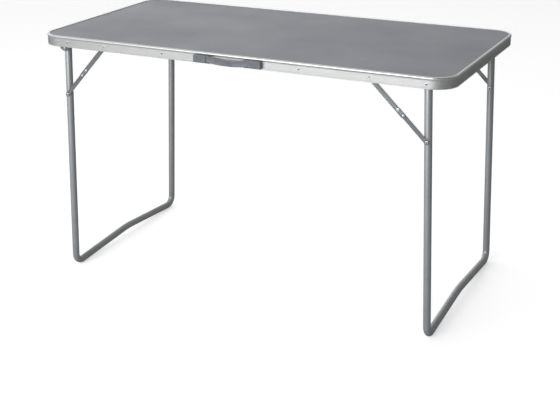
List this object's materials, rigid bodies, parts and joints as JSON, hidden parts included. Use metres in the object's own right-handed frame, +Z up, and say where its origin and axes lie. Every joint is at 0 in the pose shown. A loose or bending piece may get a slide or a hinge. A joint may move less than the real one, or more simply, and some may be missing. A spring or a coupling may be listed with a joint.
{
  "type": "folding table",
  "caption": "Camping table with a rimmed rectangular top, a carrying handle and U-shaped tube legs that fold flat under it on locking link braces.",
  "frame": {"origin": "on the floor under the middle of the top", "axes": "+X along the length of the top, -Y towards the carrying handle, +Z up"},
  "size_m": [1.2, 0.61, 0.7049],
  "materials": {
    "laminate": "thin board with a satin slate-grey laminate on both faces",
    "anodised": "satin anodised extruded aluminium",
    "zinc": "pressed sheet steel, zinc plated",
    "steel_strip": "plain steel strip with a dull grey plating",
    "bright_rivet": "bright plated rivets and pins",
    "grey_paint": "smooth mid-grey powder coat on steel tube",
    "grey_plastic": "moulded mid-grey plastic",
    "black_plastic": "moulded black plastic"
  },
  "bodies": {
    "tabletop": {"brace_rivet_back_left": "bright_rivet", "brace_rivet_back_right": "bright_rivet", "brace_rivet_front_left": "bright_rivet", "brace_rivet_front_right": "bright_rivet", "centre_rail": "zinc", "cross_rail_left": "zinc", "cross_rail_right": "zinc", "ear_rivet_back_inner": "bright_rivet", "ear_rivet_back_outer": "bright_rivet", "ear_rivet_front_inner": "bright_rivet", "ear_rivet_front_outer": "bright_rivet", "handle_block_left": "grey_plastic", "handle_block_right": "grey_plastic", "hinge_ear_back": "steel_strip", "hinge_ear_front": "steel_strip", "left_pivot_pin_back": "bright_rivet", "left_pivot_pin_front": "bright_rivet", "pivot_spacer_back_left": "grey_plastic", "pivot_spacer_back_right": "grey_plastic", "pivot_spacer_front_left": "grey_plastic", "pivot_spacer_front_right": "grey_plastic", "rail_rivet_back_left": "bright_rivet", "rail_rivet_back_right": "bright_rivet", "rail_rivet_front_left": "bright_rivet", "rail_rivet_front_right": "bright_rivet", "right_pivot_rivet_back": "bright_rivet", "right_pivot_rivet_front": "bright_rivet", "rim_frame": "anodised", "rim_splice": "zinc", "top_panel": "laminate"},
    "left_leg": {"leg_tube_left": "grey_paint", "tube_plug_front_left": "black_plastic", "tube_plug_back_left": "black_plastic", "leg_rivet_front_left": "bright_rivet", "leg_rivet_back_left": "bright_rivet"},
    "right_leg": {"leg_tube_right": "grey_paint", "tube_plug_front_right": "black_plastic", "tube_plug_back_right": "black_plastic", "leg_rivet_front_right": "bright_rivet", "leg_rivet_back_right": "bright_rivet"},
    "upper_link_front_left": {"upper_link_front_left": "steel_strip", "elbow_rivet_outer_front_left": "bright_rivet"},
    "upper_link_back_left": {"upper_link_back_left": "steel_strip", "elbow_rivet_outer_back_left": "bright_rivet"},
    "lower_link_front_left": {"lower_link_front_left": "steel_strip", "elbow_rivet_inner_front_left": "bright_rivet"},
    "lower_link_back_left": {"lower_link_back_left": "steel_strip", "elbow_rivet_inner_back_left": "bright_rivet"},
    "upper_link_front_right": {"upper_link_front_right": "steel_strip", "elbow_rivet_outer_front_right": "bright_rivet"},
    "upper_link_back_right": {"upper_link_back_right": "steel_strip", "elbow_rivet_outer_back_right": "bright_rivet"},
    "lower_link_front_right": {"lower_link_front_right": "steel_strip", "elbow_rivet_inner_front_right": "bright_rivet"},
    "lower_link_back_right": {"lower_link_back_right": "steel_strip", "elbow_rivet_inner_back_right": "bright_rivet"},
    "handle_grip": {"handle_grip": "grey_plastic"},
    "handle_strap_left": {"handle_strap_left": "grey_plastic"},
    "handle_strap_right": {"handle_strap_right": "grey_plastic"}
  },
  "joints": [
    {"name": "left_leg_fold", "type": "hinge", "parent": "tabletop", "child": "left_leg", "pos_m": [-0.516, 0, 0.6715], "axis": [0, -1, 0], "range_deg": [0, 87.4]},
    {"name": "right_leg_fold", "type": "hinge", "parent": "tabletop", "child": "right_leg", "pos_m": [0.536, 0, 0.6868], "axis": [0, 1, 0], "range_deg": [0, 90.2]},
    {"name": "upper_link_front_left_turn", "type": "hinge", "parent": "tabletop", "child": "upper_link_front_left", "pos_m": [-0.3826, -0.29, 0.689], "axis": [0, 1, 0], "range_deg": [0, 37.94]},
    {"name": "lower_link_front_left_turn", "type": "hinge", "parent": "left_leg", "child": "lower_link_front_left", "pos_m": [-0.52163, -0.29, 0.53707], "axis": [0, -1, 0], "range_deg": [0, 37.94]},
    {"name": "upper_link_back_left_turn", "type": "hinge", "parent": "tabletop", "child": "upper_link_back_left", "pos_m": [-0.3826, 0.29, 0.689], "axis": [0, 1, 0], "range_deg": [0, 37.94]},
    {"name": "lower_link_back_left_turn", "type": "hinge", "parent": "left_leg", "child": "lower_link_back_left", "pos_m": [-0.52163, 0.29, 0.53707], "axis": [0, -1, 0], "range_deg": [0, 37.94]},
    {"name": "upper_link_front_right_turn", "type": "hinge", "parent": "tabletop", "child": "upper_link_front_right", "pos_m": [0.389, -0.29, 0.689], "axis": [0, -1, 0], "range_deg": [0, 42.59]},
    {"name": "lower_link_front_right_turn", "type": "hinge", "parent": "right_leg", "child": "lower_link_front_right", "pos_m": [0.54216, -0.29, 0.53991], "axis": [0, 1, 0], "range_deg": [0, 42.58]},
    {"name": "upper_link_back_right_turn", "type": "hinge", "parent": "tabletop", "child": "upper_link_back_right", "pos_m": [0.389, 0.29, 0.689], "axis": [0, -1, 0], "range_deg": [0, 42.59]},
    {"name": "lower_link_back_right_turn", "type": "hinge", "parent": "right_leg", "child": "lower_link_back_right", "pos_m": [0.54216, 0.29, 0.53991], "axis": [0, 1, 0], "range_deg": [0, 42.58]},
    {"name": "handle_pull", "type": "slide", "parent": "tabletop", "child": "handle_grip", "axis": [0, -1, 0], "range_m": [0, 0.036]},
    {"name": "handle_strap_left_bend", "type": "hinge", "parent": "handle_grip", "child": "handle_strap_left", "pos_m": [-0.018, -0.3032, 0.6881], "axis": [0, 0, -1], "range_deg": [0, 40.05]},
    {"name": "handle_strap_right_bend", "type": "hinge", "parent": "handle_grip", "child": "handle_strap_right", "pos_m": [0.018, -0.3032, 0.6881], "axis": [0, 0, 1], "range_deg": [0, 40.05]}
  ],
  "couplings": [
    {"joint": "upper_link_front_left_turn", "follows": "left_leg_fold", "ratio": 0.43387},
    {"joint": "lower_link_front_left_turn", "follows": "left_leg_fold", "ratio": 0.43386},
    {"joint": "upper_link_back_left_turn", "follows": "left_leg_fold", "ratio": 0.43387},
    {"joint": "lower_link_back_left_turn", "follows": "left_leg_fold", "ratio": 0.43386},
    {"joint": "upper_link_front_right_turn", "follows": "right_leg_fold", "ratio": 0.47189},
    {"joint": "lower_link_front_right_turn", "follows": "right_leg_fold", "ratio": 0.47188},
    {"joint": "upper_link_back_right_turn", "follows": "right_leg_fold", "ratio": 0.47189},
    {"joint": "lower_link_back_right_turn", "follows": "right_leg_fold", "ratio": 0.47188},
    {"joint": "handle_strap_left_bend", "follows": "handle_pull", "rad_per_m": 19.392},
    {"joint": "handle_strap_right_bend", "follows": "handle_pull", "rad_per_m": 19.392}
  ]
}
